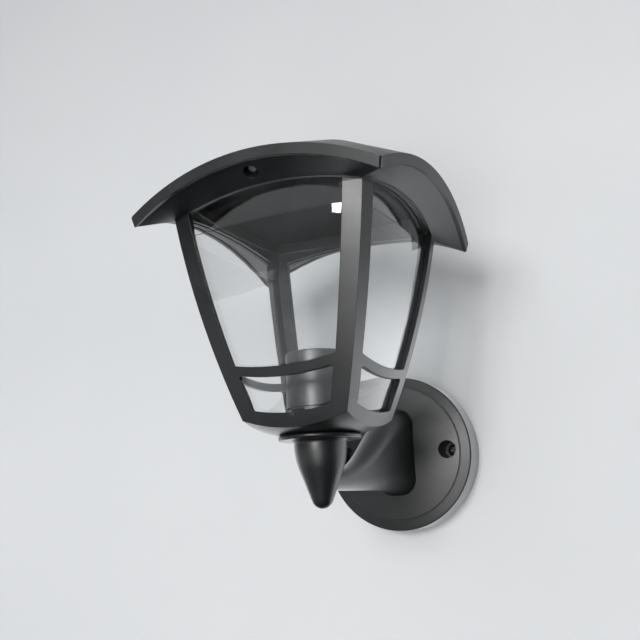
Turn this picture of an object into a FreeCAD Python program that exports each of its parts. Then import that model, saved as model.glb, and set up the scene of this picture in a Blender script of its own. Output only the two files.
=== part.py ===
import FreeCAD, Part
import math
import os
import re
import Sketcher

# Wall lantern: a four-sided glazed cage under an arched roof, on a bracket that stands out of a round
# wall base. Millimetres, +Z up, origin on the wall behind the middle of the base, -Y away from the wall.
# The lantern stands on its own upright axis, "reach" in front of the wall, and is modelled on that axis.

V = FreeCAD.Vector
UP = V(0, 0, 1)
ORIGIN = V(0, 0, 0)
SIDE_ANGLES = (0, 90, 180, 270)

# Driving dimensions: name, value, what it is
SIZES = (
    ("reach", 160.0, "wall to the lantern's axis"),
    ("fit_gap", 0.3, "clearance between pieces that slip over each other"),
    ("seat_gap", 0.1, "clearance between curved faces that are screwed together"),
    ("bow_centre", 300.0, "lantern axis to the axis that each bowed face turns about"),
    ("cage_half_low", 35.0, "middle of a cage face to the lantern's axis, at cage_low"),
    ("cage_half_mid", 57.8, "the same at cage_mid"),
    ("cage_half_high", 71.1, "the same at eave_level, and of the skirt above it"),
    ("cage_low", 8.0, "height of the lowest of the three cage widths"),
    ("cage_mid", 80.0, "height of the middle one"),
    ("eave_level", 142.3, "height of the highest one, where the skirt's corners end"),
    ("cage_wall", 3.0, "wall of the cage"),
    ("post_flange", 11.5, "width of each post's flange on a face"),
    ("mid_rail_top", 50.4, "top of the mid rail at the corners"),
    ("mid_rail_height", 5.9, "height of the mid rail"),
    ("mid_rail_sag", 6.0, "sag of the mid rail between the corners"),
    ("low_rail_top", 23.6, "top of the bottom rail at the corners"),
    ("low_rail_sag", 6.4, "sag of the bottom rail's top"),
    ("window_corner", 2.0, "rounding in the windows' corners"),
    ("window_lift", 1.5, "how far the upper windows reach up behind the skirt"),
    ("dish_radius", 111.0, "sphere that rounds the cage's underside"),
    ("dish_bottom", 2.8, "height of that sphere's lowest point"),
    ("cage_floor", 2.6, "thickness of the cage's floor"),
    ("ring_wall", 2.3, "wall of the ring that the roof slips over"),
    ("ring_top", 163.0, "top of that ring"),
    ("ring_overlap", 8.3, "how far that ring reaches down behind the posts"),
    ("roof_half", 83.8, "half width of the roof at the eaves' lower corners"),
    ("roof_corner", 136.3, "height of the eaves' lower corners"),
    ("roof_lean", 0.24, "how far the rim leans out for each millimetre up"),
    ("rim_height", 6.2, "height of the rim band"),
    ("eave_rise", 23.0, "rise of each arched eave"),
    ("apex", 208.0, "height of the roof's apex"),
    ("roof_plate", 2.8, "thickness of the roof's panels"),
    ("rim_wall", 2.4, "thickness of the rim band"),
    ("rim_notch", 1.5, "radius of the notch where two rim bands meet"),
    ("soffit_step", 1.2, "how far the eave frame sits up behind the rim's lower edge"),
    ("soffit_plate", 1.9, "height of the eave frame's sloping soffit, from face to face"),
    ("skirt_wall", 2.2, "wall of the eave frame's skirt"),
    ("skirt_arch", 8.9, "rise of the skirt's lower edge between the corners"),
    ("skirt_lip", 0.6, "how far the skirt's lower edge stands out below the soffit"),
    ("skirt_top", 161.5, "top of the skirt"),
    ("well_radius", 4.7, "radius of the well round a roof screw's head"),
    ("well_depth", 5.5, "depth of that well, square to the soffit"),
    ("well_floor", 1.5, "thickness of the well's floor"),
    ("well_wall", 1.2, "wall round the well"),
    ("roof_boss", 3.4, "radius of the roof's bosses for the roof screws"),
    ("roof_screw_reach", 9.5, "length of the roof screws below their heads"),
    ("roof_screw_radius", 1.5, "radius of the roof screws"),
    ("roof_head_radius", 3.0, "radius of the roof screws' heads"),
    ("diffuser_gap", 0.4, "clearance between diffuser and cage"),
    ("diffuser_wall", 1.6, "wall of the diffuser"),
    ("diffuser_top", 155.0, "top edge of the diffuser"),
    ("cup_top", 2.4, "height of the cup's rim"),
    ("collar_thickness", 3.0, "thickness of the collar"),
    ("collar_radius", 27.0, "radius of the collar"),
    ("seal_thickness", 0.5, "thickness of the seal between collar and cage"),
    ("seal_radius", 22.0, "radius of that seal"),
    ("wire_way", 5.0, "radius of the way for the conductors through the stack"),
    ("stack_screw_place", 11.0, "lantern axis to each stack screw"),
    ("stack_screw_radius", 1.75, "radius of the stack screws"),
    ("stack_screw_reach", 14.0, "how deep the stack screws go into the cup"),
    ("cup_radius", 17.0, "radius of the cup's waist, at the lantern's zero height"),
    ("cup_flare", 20.5, "radius of the cup's flared rim"),
    ("cup_depth", 40.0, "depth of the bullet-shaped tip"),
    ("cup_shoulder", 45.0, "radius of the arc from the waist to the tip's cone"),
    ("cup_tip", 7.0, "radius of the ball at the tip"),
    ("cup_wall", 2.6, "wall of the cup"),
    ("arm_wall", 2.6, "wall of the arm"),
    ("arm_top", -17.0, "height of the arm's top where it leaves the cup"),
    ("arm_bottom", -29.0, "height of the arm's underside there"),
    ("arm_width", 13.0, "width of the arm there"),
    ("arm_root", 8.0, "lantern axis to the arm's end inside the cup"),
    ("arm_start", 14.0, "lantern axis to where the arm starts to grow towards the wall"),
    ("foot_top", 34.0, "top of the arm's foot"),
    ("foot_bottom", -34.0, "bottom of the arm's foot"),
    ("foot_width", 33.0, "width of the arm's foot"),
    ("foot_round", 13.0, "corner radius of the arm's foot"),
    ("boss_radius", 4.0, "radius of the screw bosses in cup and foot"),
    ("cup_boss_depth", 26.0, "how deep the cup's screw bosses reach below its rim"),
    ("arm_screw_place", 24.0, "base's centre to each arm screw"),
    ("arm_screw_radius", 1.75, "radius of the arm screws"),
    ("arm_screw_reach", 18.0, "how deep the arm screws go into the foot"),
    ("base_radius", 60.0, "radius of the wall base"),
    ("base_depth", 24.5, "wall to the edge of the base's dome"),
    ("base_wall", 3.0, "wall of the base"),
    ("dome_radius", 51.5, "radius of the dome in the middle of the base"),
    ("dome_rise", 4.0, "rise of that dome"),
    ("groove_width", 1.0, "width of the groove round the dome"),
    ("groove_depth", 1.0, "depth of that groove"),
    ("bevel_drop", 1.6, "how far the band outside the groove falls towards the wall"),
    ("edge_round", 1.2, "rounding of the base's outer edge"),
    ("fixing_place", 42.0, "base's centre to each wall screw hole"),
    ("fixing_hole", 2.6, "radius of the wall screw holes"),
    ("fixing_well", 6.7, "radius of the wells for the wall screws' heads"),
    ("fixing_floor", 5.0, "thickness of the wells' floors"),
    ("fixing_wall", 2.0, "wall of the wells"),
    ("arm_pad", 6.5, "radius of the pads under the arm screws' heads"),
    ("wire_hole", 6.0, "radius of the way from the base into the arm"),
    ("gasket_thickness", 2.0, "thickness of the wall gasket"),
    ("gasket_inset", 0.8, "how far the gasket stays inside the base's edge"),
    ("grommet_bore", 4.0, "radius of the cable entry"),
    ("grommet_neck", 7.0, "radius of the gasket's hole for the grommet"),
    ("grommet_flange", 9.5, "radius of the grommet's flange"),
    ("grommet_lip", 1.5, "thickness of the grommet's flange"),
    ("cap_radius", 19.0, "radius of the lampholder's cap"),
    ("cap_floor", 2.5, "thickness of the cap's floor"),
    ("spigot_wall", 2.0, "wall of the cap's spigot inside the sleeve"),
    ("spigot_top", 30.0, "top of that spigot"),
    ("sleeve_radius", 20.5, "radius of the lampholder's sleeve"),
    ("sleeve_wall", 2.3, "wall of the sleeve"),
    ("sleeve_bottom", 22.9, "lower edge of the sleeve"),
    ("sleeve_top", 58.5, "upper edge of the sleeve"),
    ("sleeve_lip", 1.2, "how far the sleeve's shoulder reaches in over the insert"),
    ("sleeve_round", 0.9, "rounding of the sleeve's upper edge"),
    ("insert_flange", 3.0, "thickness of the insert's flange"),
    ("insert_block", 4.0, "depth of the insert below its flange"),
    ("crown_height", 19.0, "height of the insert's crown"),
    ("crown_wall", 1.5, "wall of the insert's crown"),
    ("shell_radius", 13.9, "radius of the screw shell"),
    ("shell_wall", 0.5, "wall of the screw shell"),
    ("shell_height", 19.0, "height of the screw shell"),
    ("shell_ledge", 3.4, "width of the screw shell's inward ledge"),
    ("contact_thickness", 0.5, "thickness of the contact strips"),
    ("contact_width", 5.0, "width of the centre contact"),
    ("contact_lift", 3.5, "how far the centre contact springs up"),
    ("side_contact_height", 7.0, "height of the side contact"),
    ("block_width", 18.0, "length of the terminal block along its poles"),
    ("block_depth", 10.0, "depth of the terminal block"),
    ("block_height", 22.0, "height of the terminal block"),
    ("block_place", 23.0, "base's centre to the terminal block's middle"),
    ("block_boss", 5.0, "radius of the boss that carries the terminal block"),
    ("pole_spacing", 11.0, "distance between the terminal block's poles"),
    ("pole_bore", 1.7, "radius of the terminal sleeves' bores"),
    ("pole_wall", 1.0, "wall of the terminal sleeves"),
    ("terminal_screw_radius", 1.25, "radius of the terminal screws"),
    ("terminal_screw_place", 5.0, "block's middle to each terminal screw, along its pole"),
    ("small_screw_radius", 1.4, "radius of the screws that hold block and clamp"),
    ("small_screw_reach", 4.0, "how deep those screws go into their bosses"),
    ("clamp_place", 22.0, "base's centre to the cord clamp's middle"),
    ("clamp_level", 15.5, "wall to the cord clamp's seat"),
    ("clamp_thickness", 3.0, "thickness of the cord clamp"),
    ("clamp_width", 8.0, "width of the cord clamp"),
    ("clamp_length", 26.0, "length of the cord clamp"),
    ("clamp_screw_place", 9.0, "clamp's middle to each clamp screw"),
    ("clamp_arch", 5.0, "half the span of the clamp's arch over the cable"),
    ("clamp_boss", 3.4, "radius of the bosses under the clamp"),
    ("wire_radius", 1.2, "radius of a conductor"),
    ("wire_spread", 1.8, "distance of each conductor from the middle of the pair"),
)

# Sizes that follow from the driving ones
DERIVED = {
    "collar_top": "cup_top + collar_thickness",
    "cage_bottom": "collar_top + seal_thickness",
    "floor_top": "cage_bottom + cage_floor",
    "cap_inside": "floor_top + cap_floor",
    "spigot_radius": "sleeve_radius - sleeve_wall - fit_gap",
    "spigot_bore": "spigot_radius - spigot_wall",
    "insert_top": "spigot_top + insert_flange",
    "crown_bore": "shell_radius + fit_gap",
    "ring_half": "cage_half_high - skirt_wall - fit_gap",
    "ring_inside": "ring_half - ring_wall",
    "ring_foot": "eave_level - ring_overlap",
    "roof_screw_hole": "roof_screw_radius + fit_gap",
    "soffit_level": "roof_corner + eave_rise + soffit_step",
    "soffit_half": "roof_half + roof_lean * (soffit_level - roof_corner) - rim_wall",
    "soffit_inner_level": "eave_level + skirt_lip + skirt_arch",
    "stack_screw_hole": "stack_screw_radius + fit_gap",
    "arm_screw_hole": "arm_screw_radius + fit_gap",
    "small_screw_hole": "small_screw_radius + fit_gap",
    "thread_gap": "seat_gap / 2",
    "base_face": "base_depth + dome_rise",
    "dome_sphere": "(dome_radius * dome_radius + dome_rise * dome_rise) / (2 * dome_rise)",
    "pad_level": "base_depth - base_wall",
    "bevel_depth": "base_depth - bevel_drop",
    "well_bottom": "gasket_thickness + fixing_floor",
    "block_back": "pad_level - block_depth",
    "pole_level": "pad_level - block_depth / 2",
    "pole_radius": "pole_bore + pole_wall",
}


class Sizes:
    """The document's sheet of driving dimensions, read by name."""

    def __init__(self, document):
        self.document = document
        self.sheet = document.addObject("Spreadsheet::Sheet", "Sizes")
        self.names = {name for name, value, note in SIZES}
        for row, (name, value, note) in enumerate(SIZES, 1):
            self.sheet.set(f"A{row}", name)
            self.sheet.set(f"B{row}", str(value))
            self.sheet.set(f"C{row}", note)
            self.sheet.setAlias(f"B{row}", name)
        document.recompute()
        self.reader = document.addObject("App::FeaturePython", "Reader")

    def bind(self, text):
        """An expression with each size name in it made a reference to the sheet."""
        def reference(match):
            word = match.group()
            if word in self.names:
                return f"Sizes.{word}"
            if word in DERIVED:
                return f"({self.bind(DERIVED[word])})"
            return word
        return re.sub(r"[a-z][a-z_0-9]*", reference, text)

    def value(self, text):
        return float(self.reader.evalExpression(self.bind(text)))

    def __getattr__(self, name):
        return self.value(name)


class Piece:
    """A PartDesign body whose sketches, features and place are bound to the sheet by expressions."""

    def __init__(self, s, name, place=("0", "0", "0")):
        self.s = s
        self.body = s.document.addObject("PartDesign::Body", name)
        self.body.Label = name
        self.body.AllowCompound = True
        for axis, distance in zip("xyz", place):
            self.body.setExpression(f"Placement.Base.{axis}", s.bind(distance))

    def origin(self, role):
        return next(part for part in self.body.Origin.OriginFeatures if part.Role == role)

    def sketch(self, role, level, outline=(), circles=(), place="0"):
        """Sketch on an origin plane, moved out by level and sideways to its place.

        The outline's points are pairs of expressions. A third one is the radius of the arc that leads on
        to the next point, with its centre to the left, or to the right if it starts with a minus sign.
        """
        sketch = self.body.newObject("Sketcher::SketchObject", f"{self.body.Name}_sketch")
        sketch.AttachmentSupport = (self.origin(role), [""])
        sketch.MapMode = "FlatFace"
        sketch.setExpression("AttachmentOffset.Base.x", self.s.bind(place))
        sketch.setExpression("AttachmentOffset.Base.z", self.s.bind(level))
        if outline:
            self.draw_outline(sketch, outline)
        for x, y, radius in circles:
            centre = V(self.s.value(x), self.s.value(y), 0)
            index = sketch.addGeometry(Part.Circle(centre, UP, self.s.value(radius)))
            self.hold(sketch, "DistanceX", (-1, 1, index, 3), x)
            self.hold(sketch, "DistanceY", (-1, 1, index, 3), y)
            self.hold(sketch, "Radius", (index,), radius)
        return sketch

    def hold(self, sketch, kind, places, expression):
        constraint = Sketcher.Constraint(kind, *places, self.s.value(expression))
        index = sketch.addConstraint(constraint)
        sketch.setExpression(f"Constraints[{index}]", self.s.bind(expression))

    def draw_outline(self, sketch, outline):
        points = [V(self.s.value(point[0]), self.s.value(point[1]), 0) for point in outline]
        starts, ends, arcs = [], [], []
        for index, point in enumerate(outline):
            here, following = points[index], points[(index + 1) % len(points)]
            if len(point) == 2:
                sketch.addGeometry(Part.LineSegment(here, following))
                starts.append(1)
                ends.append(2)
                continue
            to_right = point[2].startswith("-")
            radius = point[2].lstrip("-")
            size = self.s.value(radius)
            along = following - here
            aside = V(-along.y, along.x, 0).normalize() * math.sqrt(size ** 2 - (along.Length / 2) ** 2)
            centre = here + along / 2 + aside * (-1 if to_right else 1)
            first, last = (following, here) if to_right else (here, following)
            angles = [math.atan2(end.y - centre.y, end.x - centre.x) for end in (first, last)]
            sketch.addGeometry(Part.ArcOfCircle(Part.Circle(centre, UP, size), *angles))
            starts.append(2 if to_right else 1)
            ends.append(1 if to_right else 2)
            arcs.append((index, radius))
        for index, point in enumerate(outline):
            following = (index + 1) % len(points)
            joined = (index, ends[index], following, starts[following])
            sketch.addConstraint(Sketcher.Constraint("Coincident", *joined))
            self.hold(sketch, "DistanceX", (-1, 1, index, starts[index]), point[0])
            self.hold(sketch, "DistanceY", (-1, 1, index, starts[index]), point[1])
        for index, radius in arcs:
            self.hold(sketch, "Radius", (index,), radius)

    def feature(self, kind, sketch=None):
        made = self.body.newObject(f"PartDesign::{kind}", f"{self.body.Name}_{kind.lower()}")
        if sketch is not None:
            made.Profile = sketch
        self.body.Tip = made
        return made

    def turn(self, role, outline, level="0", place="0", cut=False):
        """Turn an outline about its sketch's upright axis."""
        sketch = self.sketch(role, level, outline, place=place)
        turned = self.feature("Groove" if cut else "Revolution", sketch)
        turned.ReferenceAxis = (sketch, ["V_Axis"])
        turned.Angle = 360
        return self

    def pad(self, role, level, length, outline=(), circles=()):
        raised = self.feature("Pad", self.sketch(role, level, outline, circles))
        raised.setExpression("Length", self.s.bind(length))
        return self

    def bore(self, role, level, depth, circles, onwards=False):
        """Cut round holes back from the sketch, or onwards along its normal."""
        sunk = self.feature("Pocket", self.sketch(role, level, circles=circles))
        sunk.Reversed = onwards
        sunk.setExpression("Length", self.s.bind(depth))
        return self

    def repeat(self, role, count):
        """Copies of the last feature, evenly round an axis."""
        original = self.body.Tip
        pattern = self.feature("PolarPattern")
        pattern.Originals = [original]
        pattern.Axis = (self.origin(role), [""])
        pattern.Angle = 360
        pattern.Occurrences = count
        return self

    def round_edges(self, radius, chosen):
        """Fillet the tip's edges for which chosen holds."""
        self.s.document.recompute()
        tip = self.body.Tip
        names = [f"Edge{number}" for number, edge in enumerate(tip.Shape.Edges, 1) if chosen(edge)]
        fillet = self.feature("Fillet")
        fillet.Base = (tip, names)
        fillet.setExpression("Radius", self.s.bind(radius))
        return self


LANTERN_AXIS = ("0", "-reach", "0")
BOTH_SIDES = ("", "-")

# Proportions of the pan-head screws, in shank radii
SCREW_HEAD = 1.85
SCREW_CROWN = 1.4
SCREW_HEAD_HEIGHT = 1.2
SCREW_EDGE_HEIGHT = 0.7


def ring_edge(radius, axis, level):
    """Picks the circular edges of one radius at one level along an axis, 1 for Y and 2 for Z."""
    def chosen(edge):
        curve = edge.Curve
        if not isinstance(curve, Part.Circle):
            return False
        return abs(curve.Radius - radius) < 1e-3 and abs(curve.Center[axis] - level) < 1e-3
    return chosen


def screw_outline(radius, seat, tip, way="+"):
    """Half outline of a pan-head screw whose head stands off its seat, forwards or backwards."""
    head, crown = f"{radius} * {SCREW_HEAD}", f"{radius} * {SCREW_CROWN}"
    top, edge = f"{seat} {way} {radius} * {SCREW_HEAD_HEIGHT}", f"{seat} {way} {radius} * {SCREW_EDGE_HEIGHT}"
    return [("0", top), (crown, top), (head, edge), (head, seat), (radius, seat), (radius, tip), ("0", tip)]


# Curves of the cage and the roof

def face_half(s, height):
    """Lantern axis to the middle of a cage face, on a circle through the three cage widths."""
    widths = ((s.cage_half_low, s.cage_low), (s.cage_half_mid, s.cage_mid), (s.cage_half_high, s.eave_level))
    profile = Part.Circle(*[V(half, 0, level) for half, level in widths])
    bend = math.sqrt(profile.Radius ** 2 - (height - profile.Center.z) ** 2)
    return profile.Center.x + math.copysign(bend, s.cage_half_mid - profile.Center.x)


def corner_half(s, half):
    """Half width at the corners of a bowed square whose faces stand at half."""
    far = s.bow_centre
    return (math.sqrt(2 * (far + half) ** 2 - far ** 2) - far) / 2


def turned_by(shape, angle):
    copy = shape.copy()
    copy.rotate(ORIGIN, UP, angle)
    return copy


def on_each_side(shape):
    return [turned_by(shape, angle) for angle in SIDE_ANGLES]


def fused(shapes):
    return shapes[0].fuse(shapes[1:]).removeSplitter()


def four_times(shape):
    """What a shape and its copies on the other three sides have in common."""
    common = shape
    for angle in SIDE_ANGLES[1:]:
        common = common.common(turned_by(shape, angle))
    return common


def bowed_block(s, outline):
    """Bowed square block; outline gives two or three (half, height) pairs on a face's middle line."""
    points = [V(s.bow_centre + half, 0, height) for half, height in outline]
    side = Part.Arc(*points).toShape() if len(points) == 3 else Part.makeLine(*points)
    foot, top = V(0, 0, points[0].z), V(0, 0, points[-1].z)
    closing = Part.makePolygon([points[-1], top, foot, points[0]])
    drum = Part.Face(Part.Wire([side] + closing.Edges)).revolve(ORIGIN, UP, 360)
    drum.translate(V(0, s.bow_centre, 0))
    return four_times(drum)


def cage_block(s, inset, low, high):
    """The cage's barrel-shaped block between two heights, with each face moved in."""
    heights = (low, (low + high) / 2, high)
    return bowed_block(s, [(face_half(s, height) - inset, height) for height in heights])


def straight_block(s, half, low, high):
    return bowed_block(s, [(half, low), (half, high)])


def ball(level, radius):
    return Part.makeSphere(radius, V(0, 0, level))


def slab(s, low, high):
    """Everything between two heights."""
    wide = 4 * s.roof_half
    return Part.makeBox(wide, wide, high - low, V(-wide / 2, -wide / 2, low))


def rod(radius, height, start, end):
    """Round rod along Y at a height, between two distances in front of the axis."""
    return Part.makeCylinder(radius, abs(end - start), V(0, -max(start, end), height), V(0, 1, 0))


def skirt_ball(s, extra):
    """Ball that gives the skirt its arched lower edge: it passes the skirt's corners and middles."""
    corner = math.sqrt(2) * corner_half(s, s.cage_half_high)
    middle = s.cage_half_high
    low, high = s.eave_level, s.eave_level + s.skirt_arch
    level = (corner ** 2 - middle ** 2 + low ** 2 - high ** 2) / (2 * (low - high))
    return ball(level, math.hypot(corner, low - level) + extra)


def rim_block(s, inset):
    """The block between the roof's four leaning rim faces."""
    def square(height):
        half = s.roof_half + s.roof_lean * (height - s.roof_corner) - inset
        turns = ((-1, -1), (1, -1), (1, 1), (-1, 1), (-1, -1))
        return Part.makePolygon([V(x * half, y * half, height) for x, y in turns])

    return Part.makeLoft([square(s.roof_corner - s.eave_rise), square(s.apex + s.eave_rise)], True, True)


def vault(s, drop):
    """Everything under the four arched panels, lowered by drop.

    Each panel is part of a round barrel that climbs from the eave's crown to the apex. Its radius is such
    that it passes the eave's corners.
    """
    crown = s.roof_corner + s.rim_height + s.eave_rise
    corner_out = s.roof_half + s.roof_lean * s.rim_height
    crown_out = corner_out + s.roof_lean * s.eave_rise
    slope = math.atan2(s.apex - crown, crown_out)
    fall = s.eave_rise * math.cos(slope) + (crown_out - corner_out) * math.sin(slope)
    radius = (corner_out ** 2 + fall ** 2) / (2 * fall)
    climb = V(0, math.cos(slope), math.sin(slope))
    below_crown = V(0, -crown_out, crown - drop - radius / math.cos(slope))
    barrel = Part.makeCylinder(radius, 4 * s.roof_half, below_crown - climb * s.roof_half, climb)
    far = 2 * s.roof_half
    quarter = Part.Face(Part.makePolygon([ORIGIN, V(-far, -far, 0), V(far, -far, 0), ORIGIN]))
    return fused(on_each_side(barrel.common(quarter.extrude(UP * 2 * s.apex))))


def soffit(s, lift):
    """The eave frame's sloping soffit, made thick by lift upwards, or downwards if it is negative.

    On each side it is spanned between the arched rim and the skirt's arched edge, and reaches a little
    beyond both.
    """
    low = s.roof_corner + s.soffit_step
    outer = s.soffit_half - s.roof_lean * s.eave_rise
    inner, inner_low = corner_half(s, s.cage_half_high), s.soffit_inner_level - s.skirt_arch
    outer_corner, outer_middle = V(-outer, -outer, low), V(0, -s.soffit_half, s.soffit_level)
    inner_corner = V(-inner, -inner, inner_low)
    inner_middle = V(0, -s.cage_half_high, s.soffit_inner_level)
    beyond = 0.2
    at_corners, at_middle = (outer_corner - inner_corner) * beyond, (outer_middle - inner_middle) * beyond

    def arch(corner, middle):
        return Part.Arc(corner, middle, V(-corner.x, corner.y, corner.z)).toShape()

    outside = arch(outer_corner + at_corners, outer_middle + at_middle)
    inside = arch(inner_corner - at_corners, inner_middle - at_middle)
    return fused(on_each_side(Part.makeRuledSurface(outside, inside).extrude(UP * lift)))


def at_roof_screws(s, shape):
    """Front and back copies of a shape that is modelled upwards from the origin, stood on the soffit's
    middle and square to it."""
    rise, run = s.soffit_level - s.soffit_inner_level, s.soffit_half - s.cage_half_high
    copy = shape.copy()
    copy.rotate(ORIGIN, V(1, 0, 0), -math.degrees(math.atan2(rise, run)))
    copy.translate(V(0, -s.cage_half_high - run / 2, s.soffit_inner_level + rise / 2))
    return [copy, turned_by(copy, 180)]


# Roof

def roof_canopy(s):
    """Four vaulted panels and the rim band in one moulding, with a boss for each roof screw."""
    roof = rim_block(s, 0).common(vault(s, 0))
    roof = roof.cut(rim_block(s, s.rim_wall).common(vault(s, s.roof_plate)))
    eave_radius = (s.roof_half ** 2 + s.eave_rise ** 2) / (2 * s.eave_rise)
    level = s.roof_corner + s.eave_rise - eave_radius
    arch = rod(eave_radius, level, -2 * s.roof_half, 2 * s.roof_half)
    roof = roof.cut([arch, turned_by(arch, 90)])
    foot, tip = s.well_depth + s.well_floor + s.seat_gap, s.well_depth + s.roof_screw_reach + s.fit_gap
    boss = Part.makeCylinder(s.roof_boss, s.rim_height + s.eave_rise, V(0, 0, foot))
    pilot = Part.makeCylinder(s.roof_screw_radius + s.thread_gap, tip - foot, V(0, 0, foot))
    under = vault(s, s.roof_plate / 2)
    roof = roof.fuse([each.common(under) for each in at_roof_screws(s, boss)])
    roof = roof.cut(at_roof_screws(s, pilot))
    edge = V(s.roof_lean, s.roof_lean, 1)
    start = V(s.roof_half, s.roof_half, s.roof_corner) - edge * s.rim_height
    notch = Part.makeCylinder(s.rim_notch, 4 * s.rim_height, start, edge)
    return roof.cut(on_each_side(notch)).removeSplitter()


def eave_frame(s):
    """Sloping soffit inside the rim, and the skirt that goes over the cage's ring, in one moulding."""
    lap = s.skirt_wall / 4
    foot = s.eave_level - s.skirt_arch
    under_roof = vault(s, s.roof_plate + s.seat_gap)
    within_rim = rim_block(s, s.rim_wall + s.fit_gap)
    plate = soffit(s, s.soffit_plate).common(within_rim).common(under_roof)
    plate = plate.cut(straight_block(s, s.cage_half_high - lap, foot, s.apex))
    skirt = straight_block(s, s.cage_half_high, foot, s.skirt_top)
    skirt = skirt.cut(straight_block(s, s.cage_half_high - s.skirt_wall, foot, s.skirt_top))
    skirt = skirt.common(under_roof).cut(skirt_ball(s, 0))
    depth = s.well_depth + s.well_floor
    cup = Part.makeCylinder(s.well_radius + s.well_wall, s.soffit_plate + depth, V(0, 0, -s.soffit_plate))
    below = soffit(s, -s.eave_rise)
    cups = [each.cut(below) for each in at_roof_screws(s, cup)]
    well = Part.makeCylinder(s.well_radius, depth + s.well_depth, V(0, 0, -depth))
    hole = Part.makeCylinder(s.roof_screw_hole, 2 * depth)
    frame = plate.fuse([skirt] + cups)
    return frame.cut(at_roof_screws(s, well) + at_roof_screws(s, hole)).removeSplitter()


def roof_screws(s):
    """Pan-head screws, square to the soffit, that hold the eave frame to the roof."""
    seat, head, shank = s.well_depth, s.roof_head_radius, s.roof_screw_radius
    crown, top, edge = 0.75 * head, seat - 0.7 * head, seat - 0.45 * head
    tip = seat + s.roof_screw_reach
    outline = [V(0, 0, top), V(crown, 0, top), V(head, 0, edge), V(head, 0, seat), V(shank, 0, seat),
               V(shank, 0, tip), V(0, 0, tip), V(0, 0, top)]
    screw = Part.Face(Part.makePolygon(outline)).revolve(ORIGIN, UP, 360)
    return Part.makeCompound(at_roof_screws(s, screw))


# Cage and diffuser

def window(s, low, low_sag, high, high_sag):
    """Prism from front to back between two arched rails and the posts' flanges."""
    far = 2 * s.roof_half

    def rail(corner_height, sag):
        corner = corner_half(s, face_half(s, corner_height))
        half = corner - s.post_flange
        height = corner_height - sag * (1 - (half / corner) ** 2)
        return V(-half, -far, height), V(0, -far, corner_height - sag), V(half, -far, height)

    bottom, top = rail(low, low_sag), rail(high, high_sag)
    middle = (bottom[2].z + top[2].z) / 2
    half = corner_half(s, face_half(s, middle)) - s.post_flange
    edges = [Part.Arc(*bottom), Part.Arc(bottom[2], V(half, -far, middle), top[2]),
             Part.Arc(*reversed(top)), Part.Arc(top[0], V(-half, -far, middle), bottom[0])]
    prism = Part.Face(Part.Wire([edge.toShape() for edge in edges])).extrude(V(0, 2 * far, 0))
    corners = [edge for edge in prism.Edges if edge.BoundBox.YLength > far]
    return prism.makeFillet(s.window_corner, corners)


def lantern_cage(s):
    """Posts, rails and floor in one moulding, with the ring that carries the roof."""
    low, high = s.dish_bottom - s.cage_floor, s.eave_level + 2 * s.skirt_arch
    dish = s.dish_bottom + s.dish_radius
    outside = cage_block(s, 0, low, high).common(straight_block(s, s.cage_half_high, low, high))
    outside = outside.common(ball(dish, s.dish_radius)).common(skirt_ball(s, -s.fit_gap))
    outside = outside.common(slab(s, s.cage_bottom, s.apex))
    inside = cage_block(s, s.cage_wall, low, high)
    inside = inside.common(straight_block(s, s.cage_half_high - s.cage_wall, low, high))
    inside = inside.common(ball(dish, s.dish_radius - s.cage_floor)).common(slab(s, s.floor_top, s.apex))
    ring = straight_block(s, s.ring_half, s.ring_foot, s.ring_top)
    ring = ring.cut(straight_block(s, s.ring_inside, s.ring_foot, s.ring_top))
    ring = ring.common(vault(s, s.roof_plate + s.fit_gap))
    cage = outside.cut(inside).fuse(ring)
    upper = window(s, s.mid_rail_top, s.mid_rail_sag, s.eave_level + s.window_lift, -s.skirt_arch)
    lower = window(s, s.low_rail_top, s.low_rail_sag, s.mid_rail_top - s.mid_rail_height, s.mid_rail_sag)
    cage = cage.cut([upper, lower, turned_by(upper, 90), turned_by(lower, 90)])
    holes = [Part.makeCylinder(s.wire_way, s.floor_top)]
    for side in (-1, 1):
        holes.append(Part.makeCylinder(s.stack_screw_hole, s.floor_top, V(side * s.stack_screw_place, 0, 0)))
    return cage.cut(holes).removeSplitter()


def clear_diffuser(s):
    """Clear four-sided liner inside the cage, open at both ends."""
    inset, widest = s.cage_wall + s.diffuser_gap, s.ring_inside - s.diffuser_gap

    def block(extra):
        barrel = cage_block(s, inset + extra, s.floor_top, s.diffuser_top)
        return barrel.common(straight_block(s, widest - extra, s.floor_top, s.diffuser_top))

    dish = s.dish_bottom + s.dish_radius
    seat = ball(dish, s.dish_radius - s.cage_floor - s.fit_gap)
    return block(0).cut(block(s.diffuser_wall)).common(seat)


# Stack under the cage

def collar_ring(s):
    """Collar with a beaded edge."""
    ring = Piece(s, "collar_ring", LANTERN_AXIS)
    bead = "(collar_thickness / 2)"
    ring.turn("XZ_Plane", [("wire_way", "cup_top"), (f"collar_radius - {bead}", "cup_top", bead),
                           ("collar_radius", f"cup_top + {bead}", bead),
                           (f"collar_radius - {bead}", "collar_top"), ("wire_way", "collar_top")])
    ring.bore("XY_Plane", "collar_top", "collar_thickness",
              [(f"{side}stack_screw_place", "0", "stack_screw_hole") for side in BOTH_SIDES])


def seal_washer(s):
    """Flat seal outside the stack screws."""
    washer = Piece(s, "seal_washer", LANTERN_AXIS)
    inner = "stack_screw_place + stack_screw_hole + fit_gap"
    washer.turn("XZ_Plane", [(inner, "collar_top"), ("seal_radius", "collar_top"),
                             ("seal_radius", "cage_bottom"), (inner, "cage_bottom")])


def stack_screws(s):
    """Two long screws that pull lampholder cap, cage and collar down on the cup."""
    screws = Piece(s, "stack_screws", LANTERN_AXIS)
    outline = screw_outline("stack_screw_radius", "cap_inside", "cup_top - stack_screw_reach")
    screws.turn("XZ_Plane", outline, place="stack_screw_place")
    screws.repeat("Z_Axis", 2)


# Bracket: cup, arm and foot

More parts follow.
